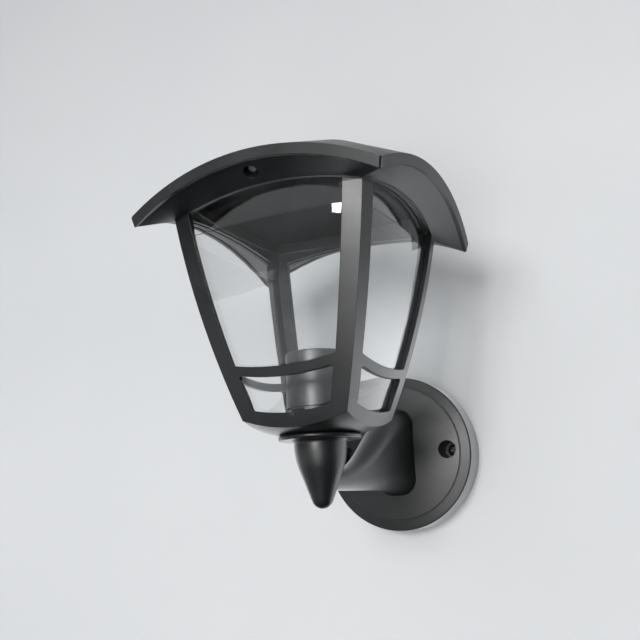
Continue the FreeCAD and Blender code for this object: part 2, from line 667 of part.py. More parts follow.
def cup_form(s, inset):
    """The bullet-shaped cup with its bell-shaped rim, its wall moved in by inset.

    From the waist an arc bends into a cone that touches the ball at the tip; above the waist the bell
    flares out on a smaller arc.
    """
    def on_arc(centre, radius, angle):
        return centre + V(math.cos(angle), 0, math.sin(angle)) * radius

    def arc(centre, radius, start, end):
        angles = (start, (start + end) / 2, end)
        return Part.Arc(*[on_arc(centre, radius, angle) for angle in angles]).toShape()

    shoulder, tip = V(s.cup_radius - s.cup_shoulder, 0, 0), V(0, 0, s.cup_tip - s.cup_depth)
    apart = tip - shoulder
    fall = math.atan2(apart.z, apart.x) + math.acos((s.cup_shoulder - s.cup_tip) / apart.Length)
    flare = s.cup_flare - s.cup_radius
    bell_radius = (flare ** 2 + s.cup_top ** 2) / (2 * flare)
    bell = V(s.cup_radius + bell_radius, 0, 0)
    large, small, flared = s.cup_shoulder - inset, s.cup_tip - inset, bell_radius + inset
    top = math.pi - math.asin(s.cup_top / flared)
    rim, middle = on_arc(bell, flared, top), V(0, 0, s.cup_top)
    edges = [arc(bell, flared, top, math.pi), arc(shoulder, large, 0, fall),
             Part.makeLine(on_arc(shoulder, large, fall), on_arc(tip, small, fall)),
             arc(tip, small, fall, -math.pi / 2), Part.makeLine(tip - UP * small, middle),
             Part.makeLine(middle, rim)]
    form = Part.Face(Part.Wire(edges)).revolve(ORIGIN, UP, 360)
    form.translate(V(0, -s.reach, 0))
    return form


def rounded_section(y, top, bottom, width, rounding):
    """Upright rounded rectangle across the arm."""
    half = width / 2
    least_flat = 0.3
    r = min(rounding, half - least_flat, (top - bottom) / 2 - least_flat)
    bulge = r * (1 - math.sqrt(0.5))
    edges = []
    ends = []
    for x, z, first_upright in ((half, top, True), (-half, top, False), (-half, bottom, True),
                                (half, bottom, False)):
        inward_x, inward_z = -math.copysign(1, x), (-1 if z == top else 1)
        upright = V(x, y, z + inward_z * r)
        level = V(x + inward_x * r, y, z)
        middle = V(x + inward_x * bulge, y, z + inward_z * bulge)
        ends.append((upright, middle, level) if first_upright else (level, middle, upright))
    for index, arc in enumerate(ends):
        edges.append(Part.Arc(*arc).toShape())
        edges.append(Part.makeLine(arc[2], ends[(index + 1) % 4][0]))
    return Part.Wire(edges)


def arm_form(s, inset):
    """The arm from inside the cup to inside the base's dome, with its wall moved in by inset.

    The underside runs level and drops only at the foot, the top climbs in a long S and the width grows
    faster and faster.
    """
    start, end = s.arm_start - s.reach, -s.base_depth
    stations, crowding, lateness, straightness = 9, 1.5, 1.2, 0.12
    underside_power, width_power = 10, 1.6
    sections = [rounded_section(s.arm_root - s.reach, s.arm_top - inset, s.arm_bottom + inset,
                                s.arm_width - 2 * inset, s.foot_round)]
    for station in range(stations + 1):
        along = 1 - (1 - station / stations) ** crowding
        eased = along ** lateness
        climb = (1 - straightness) * eased ** 2 * (3 - 2 * eased) + straightness * along
        top = s.arm_top + (s.foot_top - s.arm_top) * climb
        bottom = s.arm_bottom + (s.foot_bottom - s.arm_bottom) * along ** underside_power
        width = s.arm_width + (s.foot_width - s.arm_width) * along ** width_power
        sections.append(rounded_section(start + (end - start) * along, top - inset, bottom + inset,
                                        width - 2 * inset, s.foot_round - inset * along))
    return Part.makeLoft(sections, True, False)


def bracket_arm(s):
    """Cup, arm and foot in one hollow moulding, with screw bosses in cup and foot."""
    cup, arm = cup_form(s, 0), arm_form(s, 0)
    bracket = cup.fuse(arm).cut([cup_form(s, s.cup_wall), arm_form(s, s.arm_wall)])
    bosses, pilots = [], []
    for side in (-1, 1):
        top = V(side * s.stack_screw_place, -s.reach, s.cup_top)
        bosses.append(Part.makeCylinder(s.boss_radius, s.cup_boss_depth, top, -UP).common(cup))
        thread = s.stack_screw_radius + s.thread_gap
        pilots.append(Part.makeCylinder(thread, s.stack_screw_reach + s.fit_gap, top, -UP))
        level = side * s.arm_screw_place
        tip = s.pad_level + s.arm_screw_reach
        rib_foot = V(-s.arm_wall / 2, -tip, level if side > 0 else level - s.foot_top)
        rib = Part.makeBox(s.arm_wall, tip - s.base_depth, s.foot_top, rib_foot)
        bosses.append(rod(s.boss_radius, level, s.base_depth, tip + s.fit_gap).fuse(rib).common(arm))
        pilots.append(rod(s.arm_screw_radius + s.thread_gap, level, s.base_depth, tip))
    dome = Part.makeSphere(s.dome_sphere + s.seat_gap, V(0, s.dome_sphere - s.base_face, 0))
    return bracket.fuse(bosses).cut(pilots + [dome]).removeSplitter()


# Wall base and what it carries

def wall_base(s):
    """Domed base, open at the back, with two screw wells, pads for the arm screws and small bosses."""
    base = Piece(s, "wall_base")
    inner = "base_radius - base_wall"
    base.turn("XY_Plane", [("0", "-base_face"), ("0", "base_wall - base_face", "dome_sphere"),
                           ("dome_radius", "-pad_level"), (inner, "base_wall - bevel_depth"),
                           (inner, "-gasket_thickness"), ("base_radius", "-gasket_thickness"),
                           ("base_radius", "-bevel_depth"), ("dome_radius + groove_width", "-base_depth"),
                           ("dome_radius + groove_width", "groove_depth - base_depth"),
                           ("dome_radius", "groove_depth - base_depth"),
                           ("dome_radius", "-base_depth", "-dome_sphere")])
    beyond = "2 * base_depth"
    base.pad("XZ_Plane", "gasket_thickness", beyond,
             circles=[(f"{side}fixing_place", "0", "fixing_well + fixing_wall") for side in BOTH_SIDES])
    pads = [("0", f"{side}arm_screw_place", "arm_pad") for side in BOTH_SIDES]
    base.pad("XZ_Plane", "pad_level", beyond, circles=pads + [("block_place", "0", "block_boss")])
    base.pad("XZ_Plane", "clamp_level", beyond,
             circles=[("-clamp_place", f"{side}clamp_screw_place", "clamp_boss") for side in BOTH_SIDES])
    base.turn("XY_Plane", [("0", "-base_face", "dome_sphere"), ("dome_radius", "-base_depth"),
                           ("dome_radius", f"-3 * {beyond}"), ("0", f"-3 * {beyond}")], cut=True)
    base.bore("XZ_Plane", "2 * base_face", "2 * base_face - well_bottom",
              [(f"{side}fixing_place", "0", "fixing_well") for side in BOTH_SIDES])
    through = [(f"{side}fixing_place", "0", "fixing_hole") for side in BOTH_SIDES]
    through += [("0", f"{side}arm_screw_place", "arm_screw_hole") for side in BOTH_SIDES]
    base.bore("XZ_Plane", "2 * base_face", "2 * base_face", through + [("0", "0", "wire_hole")])
    base.bore("XZ_Plane", "pad_level", "small_screw_reach + seat_gap",
              [("block_place", "0", "small_screw_radius + thread_gap")], onwards=True)
    base.bore("XZ_Plane", "clamp_level", "small_screw_reach + seat_gap",
              [("-clamp_place", f"{side}clamp_screw_place", "small_screw_radius + thread_gap")
               for side in BOTH_SIDES], onwards=True)
    base.round_edges("edge_round", ring_edge(s.base_radius, 1, -s.bevel_depth))


def wall_gasket(s):
    """Flat gasket with the holes for the wall screws and the grommet."""
    gasket = Piece(s, "wall_gasket")
    holes = [(f"{side}fixing_place", "0", "fixing_hole") for side in BOTH_SIDES]
    rim = [("0", "0", "base_radius - gasket_inset")]
    gasket.pad("XZ_Plane", "0", "gasket_thickness", circles=rim + holes + [("0", "0", "grommet_neck")])


def cable_grommet(s):
    """Flanged grommet in the gasket, where the supply cable comes in."""
    grommet = Piece(s, "cable_grommet")
    neck, front = "grommet_neck - fit_gap", "-(gasket_thickness + grommet_lip)"
    grommet.turn("XY_Plane", [("grommet_bore", "0"), (neck, "0"), (neck, "-gasket_thickness"),
                              ("grommet_flange", "-gasket_thickness"), ("grommet_flange", front),
                              ("grommet_bore", front)][::-1])


def arm_screws(s):
    """Two screws from behind through the base into the arm's foot."""
    screws = Piece(s, "arm_screws")
    outline = screw_outline("arm_screw_radius", "-pad_level", "-(pad_level + arm_screw_reach - fit_gap)")
    screws.turn("XY_Plane", outline, level="arm_screw_place")
    screws.repeat("Y_Axis", 2)


def terminal_block(s):
    """Two-pole block with a screw well over each end of each pole and one in the middle."""
    block = Piece(s, "terminal_block", ("block_place", "0", "0"))
    half_wide, half_high = "block_width / 2", "block_height / 2"
    corners = [(f"-{half_wide}", f"-{half_high}"), (half_wide, f"-{half_high}"), (half_wide, half_high),
               (f"-{half_wide}", half_high)]
    block.pad("XZ_Plane", "block_back", "block_depth", corners)
    poles = [("-pole_level", f"{side}pole_spacing / 2", "pole_radius + thread_gap") for side in BOTH_SIDES]
    block.bore("YZ_Plane", half_wide, "block_width", poles)
    terminal_well = f"terminal_screw_radius * {SCREW_HEAD} + fit_gap"
    wells = [(f"{along}terminal_screw_place", f"{side}pole_spacing / 2", terminal_well)
             for along in BOTH_SIDES for side in BOTH_SIDES]
    block.bore("XZ_Plane", "block_back", "block_depth / 2", wells, onwards=True)
    block.bore("XZ_Plane", "block_back", "block_depth", [("0", "0", "small_screw_hole")], onwards=True)


def terminal_sleeves(s):
    """Brass sleeve in each pole, with a hole under each terminal screw."""
    sleeves = Piece(s, "terminal_sleeves", ("block_place", "0", "0"))
    half = "block_width / 2 - 1"
    poles = [("-pole_level", f"{side}pole_spacing / 2") for side in BOTH_SIDES]
    outside = [pole + ("pole_radius",) for pole in poles]
    sleeves.pad("YZ_Plane", f"-({half})", f"2 * ({half})", circles=outside)
    sleeves.bore("YZ_Plane", half, f"2 * ({half})", [pole + ("pole_bore",) for pole in poles])
    holes = [(f"{along}terminal_screw_place", f"{side}pole_spacing / 2", "terminal_screw_radius + thread_gap")
             for along in BOTH_SIDES for side in BOTH_SIDES]
    sleeves.bore("XZ_Plane", "block_back", "block_depth / 2", holes, onwards=True)


def terminal_screws(s):
    """Four screws, two to a pole, that stand on the wires in the sleeves."""
    screws = Piece(s, "terminal_screws", ("block_place", "0", "0"))
    seat, tip = "-(pole_level - pole_radius - 1)", "-(pole_level - pole_bore + seat_gap)"
    outline = screw_outline("terminal_screw_radius", seat, tip)
    for along in BOTH_SIDES:
        screws.turn("XY_Plane", outline, level="pole_spacing / 2", place=f"{along}terminal_screw_place")
        screws.turn("XY_Plane", outline, level="-pole_spacing / 2", place=f"{along}terminal_screw_place")


def block_screw(s):
    """Screw that holds the terminal block on its boss."""
    screw = Piece(s, "terminal_block_screw", ("block_place", "0", "0"))
    outline = screw_outline("small_screw_radius", "-block_back", "-(pad_level + small_screw_reach)")
    screw.turn("XY_Plane", outline)


def cord_clamp(s):
    """Bar with a shallow arch over the supply cable."""
    clamp = Piece(s, "cord_clamp", ("-clamp_place", "-clamp_level", "0"))
    half = "clamp_length / 2"
    clamp.pad("YZ_Plane", "-clamp_width / 2", "clamp_width",
              [("0", f"-{half}"), ("0", "-clamp_arch", "clamp_arch * 1.6"), ("0", "clamp_arch"), ("0", half),
               ("clamp_thickness", half), ("clamp_thickness", f"-{half}")])
    clamp.bore("XZ_Plane", "0", "clamp_thickness",
               [("0", f"{side}clamp_screw_place", "small_screw_hole") for side in BOTH_SIDES])


def clamp_screws(s):
    """Two screws that hold the cord clamp down."""
    screws = Piece(s, "clamp_screws", ("-clamp_place", "0", "0"))
    seat, tip = "clamp_thickness - clamp_level", "-(clamp_level + small_screw_reach)"
    outline = screw_outline("small_screw_radius", seat, tip)
    screws.turn("XY_Plane", outline, level="clamp_screw_place")
    screws.repeat("Y_Axis", 2)


# Lampholder

def holder_cap(s):
    """Cap on the cage's floor, with the spigot that the sleeve goes over."""
    cap = Piece(s, "holder_cap", LANTERN_AXIS)
    cap.turn("XZ_Plane", [("wire_way", "floor_top"), ("cap_radius", "floor_top"),
                          ("cap_radius", "sleeve_bottom"), ("spigot_radius", "sleeve_bottom"),
                          ("spigot_radius", "spigot_top"), ("spigot_bore", "spigot_top"),
                          ("spigot_bore", "cap_inside"), ("wire_way", "cap_inside")])
    cap.bore("XY_Plane", "cap_inside", "cap_floor",
             [(f"{side}stack_screw_place", "0", "stack_screw_hole") for side in BOTH_SIDES])


def holder_sleeve(s):
    """Sleeve that clamps the insert's flange on the cap."""
    sleeve = Piece(s, "holder_sleeve", LANTERN_AXIS)
    bore = "sleeve_radius - sleeve_wall"
    sleeve.turn("XZ_Plane", [(bore, "sleeve_bottom"), ("sleeve_radius", "sleeve_bottom"),
                             ("sleeve_radius", "sleeve_top"), (f"{bore} - sleeve_lip", "sleeve_top"),
                             (f"{bore} - sleeve_lip", "insert_top"), (bore, "insert_top")])
    sleeve.round_edges("sleeve_round", ring_edge(s.sleeve_radius, 2, s.sleeve_top))


def holder_insert(s):
    """Insulating insert: block, flange and crown round the screw shell."""
    insert = Piece(s, "holder_insert", LANTERN_AXIS)
    block, foot = "spigot_bore - fit_gap", "spigot_top - insert_block"
    crown, top = "crown_bore + crown_wall", "insert_top + crown_height"
    insert.turn("XZ_Plane", [("0", foot), (block, foot), (block, "spigot_top"),
                             ("spigot_radius", "spigot_top"), ("spigot_radius", "insert_top"),
                             (crown, "insert_top"), (crown, top), ("crown_bore", top),
                             ("crown_bore", "insert_top"), ("0", "insert_top")])


def screw_shell(s):
    """Shell for the lamp's cap, standing on its inward ledge."""
    shell = Piece(s, "screw_shell", LANTERN_AXIS)
    inner, top = "shell_radius - shell_wall", "insert_top + shell_height"
    shell.turn("XZ_Plane", [("shell_radius - shell_ledge", "insert_top"), ("shell_radius", "insert_top"),
                            ("shell_radius", top), (inner, top), (inner, "insert_top + shell_wall"),
                            ("shell_radius - shell_ledge", "insert_top + shell_wall")])


def centre_contact(s):
    """Springy strip under the lamp's tip."""
    strip = Piece(s, "centre_contact", LANTERN_AXIS)
    foot, raised, thick = "insert_top", "insert_top + contact_lift", "contact_thickness"
    tail, bend = "contact_width * 1.6", "contact_width * 0.6"
    tip, shift = "contact_width * 1.2", "contact_width * 0.04"
    strip.pad("XZ_Plane", "-contact_width / 2", "contact_width",
              [(f"-{tail}", foot), (f"-{bend}", foot), (bend, raised), (tip, raised),
               (tip, f"{raised} + {thick}"), (f"{bend} - {shift}", f"{raised} + {thick}"),
               (f"-{bend} - {shift}", f"{foot} + {thick}"), (f"-{tail}", f"{foot} + {thick}")])


def side_contact(s):
    """Upright strip beside the lamp's cap."""
    strip = Piece(s, "side_contact", LANTERN_AXIS)
    outer = "shell_radius - shell_ledge - fit_gap"
    foot, top = "insert_top", "insert_top + side_contact_height"
    thick, width, inner = "contact_thickness", "contact_width * 0.8", f"{outer} - contact_width"
    strip.pad("YZ_Plane", f"-{width} / 2", width,
              [(inner, foot), (outer, foot), (outer, top), (f"{outer} - {thick}", top),
               (f"{outer} - {thick}", f"{foot} + {thick}"), (inner, f"{foot} + {thick}")])


# Conductors

def rounded_route(points):
    """Straight runs joined by tangent arcs, each as large as its two runs allow."""
    edges, here = [], points[0]
    for before, corner, after in zip(points, points[1:], points[2:]):
        back, on = (before - corner), (after - corner)
        shorter = min(back.Length, on.Length)
        turn = math.pi - back.getAngle(on)
        reach = 0.45 * shorter
        radius = reach / math.tan(turn / 2)
        back.normalize()
        on.normalize()
        first, last = corner + back * reach, corner + on * reach
        inward = (back + on).normalize()
        middle = corner + inward * (radius / math.cos(turn / 2) - radius)
        edges += [Part.makeLine(here, first), Part.Arc(first, middle, last).toShape()]
        here = last
        print("conductor bend radius", round(radius, 1))
    return Part.Wire(edges + [Part.makeLine(here, points[-1])])


def lamp_wires(s):
    """Two conductors from the terminal block through the arm and the cup to the lampholder's insert."""
    wires = []
    for side in (-1, 1):
        beside = side * s.wire_spread
        level = s.arm_bottom + s.arm_wall + s.wire_spread + 1.5 * s.wire_radius
        points = [V(s.block_place - s.block_width / 2 + 2, -s.pole_level, side * s.pole_spacing / 2),
                  V(0, -s.pole_level, beside),
                  V(0, -s.base_face - 2 * s.wire_hole, beside - s.wire_hole / 2),
                  V(0, -s.reach + 1.3 * s.cup_radius, level + beside),
                  V(0, -s.reach + beside, level + beside),
                  V(0, -s.reach + beside, s.spigot_top - s.insert_block)]
        route = rounded_route(points)
        start = route.Edges[0]
        first = start.FirstParameter
        circle = Part.Circle(start.valueAt(first), start.tangentAt(first), s.wire_radius)
        wire = route.makePipeShell([Part.Wire(circle.toShape())], True, False)
        print("conductor", round(route.Length), "mm long, volume over section times length",
              round(wire.Volume / (math.pi * s.wire_radius ** 2 * route.Length), 4))
        wires.append(wire)
    return Part.makeCompound(wires)


# Pieces shaped in code, each with whether it is modelled on the lantern's axis
FREE_FORMS = ((roof_canopy, True), (eave_frame, True), (roof_screws, True), (lantern_cage, True),
              (clear_diffuser, True), (bracket_arm, False), (lamp_wires, False))
TURNED_AND_PADDED = (collar_ring, seal_washer, stack_screws, wall_base, wall_gasket, cable_grommet,
                     arm_screws, terminal_block, terminal_sleeves, terminal_screws, block_screw, cord_clamp,
                     clamp_screws, holder_cap, holder_sleeve, holder_insert, screw_shell, centre_contact,
                     side_contact)


def build():
    """Make the document and return its sub-parts."""
    document = FreeCAD.newDocument("wall_lantern")
    sizes = Sizes(document)
    for make in TURNED_AND_PADDED:
        make(sizes)
    for make, on_axis in FREE_FORMS:
        piece = document.addObject("Part::Feature", make.__name__)
        piece.Label = make.__name__
        piece.Shape = make(sizes)
        piece.Placement = FreeCAD.Placement(V(0, -sizes.reach if on_axis else 0, 0), FreeCAD.Rotation())
    document.recompute()
    failed = [made.Name for made in document.Objects if {"Invalid", "Error"} & set(made.State)]
    if failed:
        raise RuntimeError(f"not computed: {failed}")
    return [made for made in document.Objects if made.TypeId in ("PartDesign::Body", "Part::Feature")]


def write_parts(pieces):
    """Write each sub-part to its file once every one of them is sound."""
    for piece in pieces:
        if piece.Shape.isNull() or not piece.Shape.isValid() or not piece.Shape.Solids:
            raise RuntimeError(f"no sound shape: {piece.Label}")
    os.makedirs("parts", exist_ok=True)
    for piece in pieces:
        piece.Shape.exportStep(f"parts/{piece.Label}.step")
        print(piece.Label, len(piece.Shape.Solids), "solids,", round(piece.Shape.Volume), "cubic mm")


write_parts(build())
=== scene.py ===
"""The looks of a glazed wall lantern on its bracket, and the plain studio it stands in. Metres, +Z up."""

import math

import bpy
from mathutils import Matrix, Vector


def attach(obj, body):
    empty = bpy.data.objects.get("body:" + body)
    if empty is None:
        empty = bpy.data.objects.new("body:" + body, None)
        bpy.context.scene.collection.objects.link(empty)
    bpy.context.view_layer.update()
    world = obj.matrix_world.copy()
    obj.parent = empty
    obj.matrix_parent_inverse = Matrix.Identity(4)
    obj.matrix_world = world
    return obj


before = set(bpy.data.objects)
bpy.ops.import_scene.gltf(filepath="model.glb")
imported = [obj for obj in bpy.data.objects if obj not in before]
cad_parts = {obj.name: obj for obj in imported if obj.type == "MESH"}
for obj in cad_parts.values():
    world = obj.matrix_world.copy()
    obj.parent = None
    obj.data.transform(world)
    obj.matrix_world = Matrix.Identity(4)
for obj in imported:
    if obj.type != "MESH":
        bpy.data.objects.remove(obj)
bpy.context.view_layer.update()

MM = 0.001

# The camera of the photograph, worked out from the lantern's own corners
CAMERA_PLACE = Vector((0.21594, -0.60048, -0.0372))
CAMERA_AZIMUTH = math.radians(25.77)
CAMERA_ELEVATION = math.radians(-13.58)
CAMERA_ROLL = math.radians(-2.38)
CAMERA_NEAREST = 0.01
FOCAL_PIXELS = 762.48
PHOTO_WIDTH = 640
SENSOR_WIDTH_MM = 36.0

# The wall screws, whose heads show in the base's wells
FIXING_PLACE = 42.0 * MM
WELL_BOTTOM = 7.0 * MM
HEAD_RADIUS = 4.6 * MM
HEAD_HEIGHT = 3.0 * MM
HEAD_CROWN = 0.8
HEAD_EDGE_POWER = 8
CROSS_REACH = 2.4 * MM
CROSS_HALF_WIDTH = 0.55 * MM
CROSS_DEPTH = 1.6 * MM
CROSS_FLOOR_POWER = 0.3
HEAD_RINGS = 24
HEAD_SPOKES = 96

# The board behind the lantern, with painted shade that darkens it between two heights
WALL_GAP = 0.6 * MM
WALL_SIZE = 6.0
WALL_GREY = 0.50
WALL_DIM_FROM = 0.25
WALL_DIM_TO = 0.75
WALL_DIM_SHARE = 0.5

# The floor
FLOOR_LEVEL = -0.62
FLOOR_SIZE = 8.0
FLOOR_GREY = 0.70

# The two cards just in front of the board, which only reflections see: the dark one, painted shade, ends
# where the glowing one, a painted reflection, starts
CARD_PLACE = -1.0 * MM
DARK_CARD_TOP = -0.17
LIGHT_CARD_TOP = 0.13
LIGHT_CARD_FADE = 0.03
LIGHT_CARD_GLOW = 2.3
LIGHT_CARD_TOP_GLOW = 0.5
LIGHT_CARD_RIM_GLOW = 1.3
LIGHT_CARD_RIM_START = 62.0 * MM
LIGHT_CARD_RIM_END = 78.0 * MM

# The room's light, and the plain tone that shows in its place, through the glazing too
ROOM_COLOUR = (0.96, 0.975, 1.0)
ROOM_SEEN = (0.69, 0.70, 0.715)
ROOM_LIGHT = 2.4

# The room's light by height, from straight down to straight up: sine of the elevation, share of the light
ROOM_BANDS = (
    (-1.0, 0.03), (-0.5, 0.05), (-0.33, 0.5), (-0.16, 0.5),
    (-0.05, 0.05), (0.2, 0.05), (0.45, 0.5), (1.0, 0.5),
)

# Each lamp: name, place, aimed at, width, height, watts
LAMPS = (
    ("lamp_window", (0.08, -3.0, 0.48), (0.0, 0.0, 0.05), 1.0, 0.66, 70.0),
    ("lamp_low", (0.49, -2.94, -0.81), (0.0, -0.1, 0.0), 1.62, 0.72, 22.0),
)


class Chains:
    """The node chains of one tree, built from small steps."""

    def __init__(self, tree):
        self.tree = tree

    def join(self, source, target):
        self.tree.links.new(source, target)

    def node(self, kind, wired=None, **settings):
        made = self.tree.nodes.new(kind)
        for name, value in settings.items():
            setattr(made, name, value)
        for socket, value in (wired or {}).items():
            if isinstance(value, bpy.types.NodeSocket):
                self.join(value, made.inputs[socket])
            else:
                made.inputs[socket].default_value = value
        return made

    def along(self, place, axis):
        """One coordinate of a place."""
        return self.node("ShaderNodeSeparateXYZ", {"Vector": place}).outputs[axis]

    def span(self, value, low, high, start=0.3, end=0.7):
        """value's stretch from start to end, laid on low to high."""
        wired = {"Value": value, "From Min": start, "From Max": end, "To Min": low, "To Max": high}
        return self.node("ShaderNodeMapRange", wired).outputs["Result"]

    def maths(self, operation, first, second=0.0):
        return self.node("ShaderNodeMath", {0: first, 1: second}, operation=operation).outputs["Value"]

    def choose(self, share, plain, other):
        """A shader between two: plain where the share is 0, other where it is 1."""
        return self.node("ShaderNodeMixShader", {0: share, 1: plain, 2: other}).outputs[0]


class Finish(Chains):
    """One procedural material: a Principled shader and the node chains that feed it."""

    def __init__(self, name, colour, roughness, **uniform):
        self.material = bpy.data.materials.new(name)
        self.material.use_nodes = True
        super().__init__(self.material.node_tree)
        self.shader = self.tree.nodes["Principled BSDF"]
        self.place = self.node("ShaderNodeTexCoord").outputs["Object"]
        self.set("Base Color", (*colour, 1.0))
        self.set("Roughness", roughness)
        for socket, value in uniform.items():
            self.set(socket.replace("_", " "), value)

    def set(self, socket, value):
        self.shader.inputs[socket].default_value = value

    def feed(self, socket, source):
        self.join(source, self.shader.inputs[socket])

    def show(self, shader):
        """Makes another shader the surface, in place of the Principled one alone."""
        self.join(shader, self.tree.nodes["Material Output"].inputs["Surface"])

    def stretched(self, scale):
        """Object coordinates, stretched along an axis, for drawn or brushed surfaces."""
        return self.node("ShaderNodeMapping", {"Vector": self.place, "Scale": scale}).outputs["Vector"]

    def noise(self, grain, detail=3.0, rough=0.55, place=None):
        """Noise whose blobs are about one grain across, from 0 to 1."""
        wired = {"Vector": place or self.place, "Scale": 1.0 / grain, "Detail": detail, "Roughness": rough}
        return self.node("ShaderNodeTexNoise", wired).outputs["Fac"]

    def mix(self, share, plain, other):
        """A colour between two, each a colour or a socket."""
        made = self.node("ShaderNodeMix", data_type="RGBA")
        for index, value in ((0, share), (6, plain), (7, other)):
            if isinstance(value, bpy.types.NodeSocket):
                self.join(value, made.inputs[index])
            elif index:
                made.inputs[index].default_value = (*value, 1.0)
            else:
                made.inputs[index].default_value = value
        return made.outputs[2]

    def specks(self, spacing, radius, share):
        """1 in small round specks that lie in some of the cells of a jittered lattice, 0 elsewhere."""
        cells = self.node("ShaderNodeTexVoronoi", {"Vector": self.place, "Scale": 1.0 / spacing})
        near = self.span(cells.outputs["Distance"], 1.0, 0.0, 0.4 * radius / spacing, radius / spacing)
        chance = self.node("ShaderNodeSeparateColor", {"Color": cells.outputs["Color"]}).outputs["Red"]
        return self.maths("MULTIPLY", near, self.maths("LESS_THAN", chance, share))

    def relief(self, height, depth, strength=1.0, over=None):
        """A bump of that depth in metres, over another normal if one is given."""
        wired = {"Height": height, "Distance": depth, "Strength": strength}
        if over is not None:
            wired["Normal"] = over
        return self.node("ShaderNodeBump", wired).outputs["Normal"]

    def soft_edges(self, radius):
        """The normal of the surface with its sharp edges rounded over."""
        return self.node("ShaderNodeBevel", {"Radius": radius}, samples=4).outputs["Normal"]


def moulded_black():
    """Black moulded plastic: fine spark-eroded grain, faint flow clouds, dust and softened edges."""
    made = Finish("moulded_black", (0.012, 0.013, 0.015), 0.42, Specular_IOR_Level=0.5)
    clouds = made.noise(30 * MM, 4.0)
    grain = made.noise(0.6 * MM, 2.0)
    dust = made.specks(6 * MM, 0.16 * MM, 0.5)
    film = made.span(made.noise(9 * MM, 5.0), 0.0, 0.25, 0.5, 0.8)
    body = made.mix(made.span(clouds, 0.0, 1.0), (0.004, 0.0044, 0.005), (0.007, 0.0075, 0.0085))
    dusty = made.mix(film, body, (0.018, 0.0185, 0.0195))
    made.feed("Base Color", made.mix(dust, dusty, (0.35, 0.35, 0.34)))
    worn = made.maths("ADD", made.span(clouds, 0.34, 0.42), made.span(grain, -0.03, 0.03))
    made.feed("Roughness", worn)
    made.feed("Normal", made.relief(grain, 0.015 * MM, 0.4, made.soft_edges(0.5 * MM)))
    return made.material


def gloss_black():
    """Smooth black thermoset, as lampholders are moulded in, with faint drag marks along its draw."""
    made = Finish("gloss_black", (0.010, 0.011, 0.012), 0.35)
    drag = made.noise(1.6 * MM, 3.0, place=made.stretched((1.0, 1.0, 0.06)))
    clouds = made.noise(8 * MM, 4.0)
    dust = made.specks(4 * MM, 0.14 * MM, 0.35)
    body = made.mix(made.span(clouds, 0.0, 1.0), (0.008, 0.009, 0.010), (0.018, 0.018, 0.020))
    made.feed("Base Color", made.mix(dust, body, (0.3, 0.3, 0.3)))
    made.feed("Roughness", made.span(drag, 0.28, 0.42))
    made.feed("Normal", made.relief(drag, 0.03 * MM, 0.4, made.soft_edges(0.3 * MM)))
    return made.material


def clear_plastic():
    """Clear moulded glazing: it bends little, mirrors softly and lets the lamps through."""
    made = Finish("clear_plastic", (0.985, 0.99, 0.99), 0.02, IOR=1.49, Transmission_Weight=1.0)
    waves = made.noise(22 * MM, 2.0)
    dust = made.specks(7 * MM, 0.2 * MM, 0.45)
    made.feed("Roughness", made.span(dust, 0.015, 0.6, 0.0, 1.0))
    made.feed("Normal", made.relief(waves, 0.25 * MM, 0.35))
    passing = made.node("ShaderNodeBsdfTransparent", {"Color": (0.95, 0.955, 0.955, 1.0)}).outputs[0]
    rays = made.node("ShaderNodeLightPath")
    seen = made.shader.outputs[0]
    for kind in ("Is Diffuse Ray", "Is Shadow Ray"):
        seen = made.choose(rays.outputs[kind], seen, passing)
    made.show(seen)
    return made.material


def metal(name, colour, tarnish, roughness):
    """Plated or turned metal with faint tarnish and fine turning marks."""
    made = Finish(name, colour, roughness, Metallic=1.0)
    stain = made.noise(2.5 * MM, 5.0)
    fine = made.noise(0.2 * MM, 2.0)
    made.feed("Base Color", made.mix(made.span(stain, 0.0, 0.6), colour, tarnish))
    made.feed("Roughness", made.maths("ADD", made.span(stain, roughness - 0.06, roughness + 0.12),
                                      made.span(fine, -0.03, 0.03)))
    made.feed("Normal", made.relief(fine, 0.01 * MM, 0.4, made.soft_edges(0.15 * MM)))
    return made.material


def soft_rubber():
    """Dull black rubber with a powdery bloom."""
    made = Finish("seal_rubber", (0.02, 0.02, 0.021), 0.85, Sheen_Weight=0.15)
    bloom = made.span(made.noise(5 * MM, 5.0), 0.0, 1.0)
    pores = made.noise(0.3 * MM, 2.0)
    made.feed("Base Color", made.mix(bloom, (0.016, 0.016, 0.017), (0.045, 0.045, 0.046)))
    made.feed("Roughness", made.span(pores, 0.75, 0.95))
    made.feed("Normal", made.relief(pores, 0.03 * MM, 0.5, made.soft_edges(0.3 * MM)))
    return made.material


def pale_moulding(name, light, dark, roughness):
    """A pale insulating moulding: steatite, or the natural nylon of a terminal block."""
    made = Finish(name, light, roughness, Subsurface_Weight=0.15, Subsurface_Scale=1.5 * MM)
    clouds = made.noise(4 * MM, 4.0)
    grain = made.noise(0.35 * MM, 2.0)
    made.feed("Base Color", made.mix(made.span(clouds, 0.0, 1.0), light, dark))
    made.feed("Roughness", made.span(grain, roughness - 0.05, roughness + 0.08))
    made.feed("Normal", made.relief(grain, 0.02 * MM, 0.5, made.soft_edges(0.25 * MM)))
    return made.material


def wire_insulation():
    """Two coloured conductors: brown on the lantern's right, blue on its left."""
    brown, blue = (0.11, 0.035, 0.014), (0.018, 0.07, 0.30)
    made = Finish("wire_insulation", brown, 0.45)
    left = made.maths("LESS_THAN", made.along(made.place, "X"), 0.0)
    shade = made.span(made.noise(3 * MM, 3.0), 0.0, 0.25)
    made.feed("Base Color", made.mix(shade, made.mix(left, brown, blue), (0.02, 0.02, 0.02)))
    made.feed("Roughness", made.span(made.noise(0.8 * MM, 2.0), 0.38, 0.52))
    return made.material


